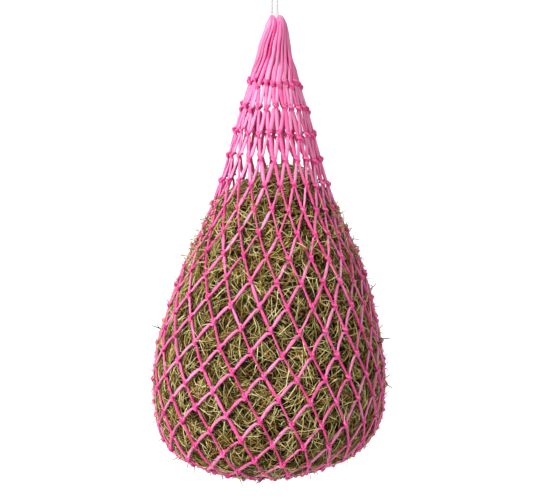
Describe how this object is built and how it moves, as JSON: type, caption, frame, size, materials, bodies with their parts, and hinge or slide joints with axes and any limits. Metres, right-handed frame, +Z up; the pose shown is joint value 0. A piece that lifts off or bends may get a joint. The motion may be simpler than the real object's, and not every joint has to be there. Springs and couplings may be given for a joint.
{
  "type": "hay net",
  "caption": "Knotted twine hay net, hung by a doubled rope and filled with hay, with a narrow closed neck over a round belly.",
  "frame": {"origin": "the hang point: the inside of the top of the rope's eye, where a hook bears", "axes": "+Z up along the hanging line, +X to the right seen from the front, the front faces -Y"},
  "size_m": [0.4401, 0.44, 0.9636],
  "materials": {
    "net_twine": "satin",
    "hanging_rope": "matte",
    "hay": "matte"
  },
  "bodies": {
    "hanger": {"hang_loop": "hanging_rope"},
    "knot": {"hang_knot": "hanging_rope"},
    "cord": {"cord_left": "hanging_rope", "cord_right": "hanging_rope"},
    "net": {"bottom_gather_cord": "net_twine", "cord_bight": "hanging_rope", "hay_fill": "hay", "loop_bunch": "net_twine", "mesh_course_01": "net_twine", "mesh_course_02": "net_twine", "mesh_course_03": "net_twine", "mesh_course_04": "net_twine", "mesh_course_05": "net_twine", "mesh_course_06": "net_twine", "mesh_course_07": "net_twine", "mesh_course_08": "net_twine", "mesh_course_09": "net_twine", "mesh_course_10": "net_twine", "mesh_course_11": "net_twine", "mesh_course_12": "net_twine", "mesh_course_13": "net_twine", "mesh_course_14": "net_twine", "mesh_course_15": "net_twine", "mesh_course_16": "net_twine", "mesh_course_17": "net_twine", "mesh_course_18": "net_twine", "mesh_course_19": "net_twine", "mesh_course_20": "net_twine", "mesh_course_21": "net_twine", "mesh_course_22": "net_twine"}
  },
  "joints": [
    {"name": "swing_front", "type": "hinge", "parent": "hanger", "child": "knot", "pos_m": [0, 0, -0.042], "axis": [1, 0, 0], "range_deg": [-25, 25]},
    {"name": "twist", "type": "hinge", "parent": "knot", "child": "cord", "pos_m": [0, 0, -0.0655], "axis": [0, 0, 1], "range_deg": [-120, 120]},
    {"name": "swing_side", "type": "hinge", "parent": "cord", "child": "net", "pos_m": [0, 0, -0.1], "axis": [0, 1, 0], "range_deg": [-25, 25]}
  ]
}
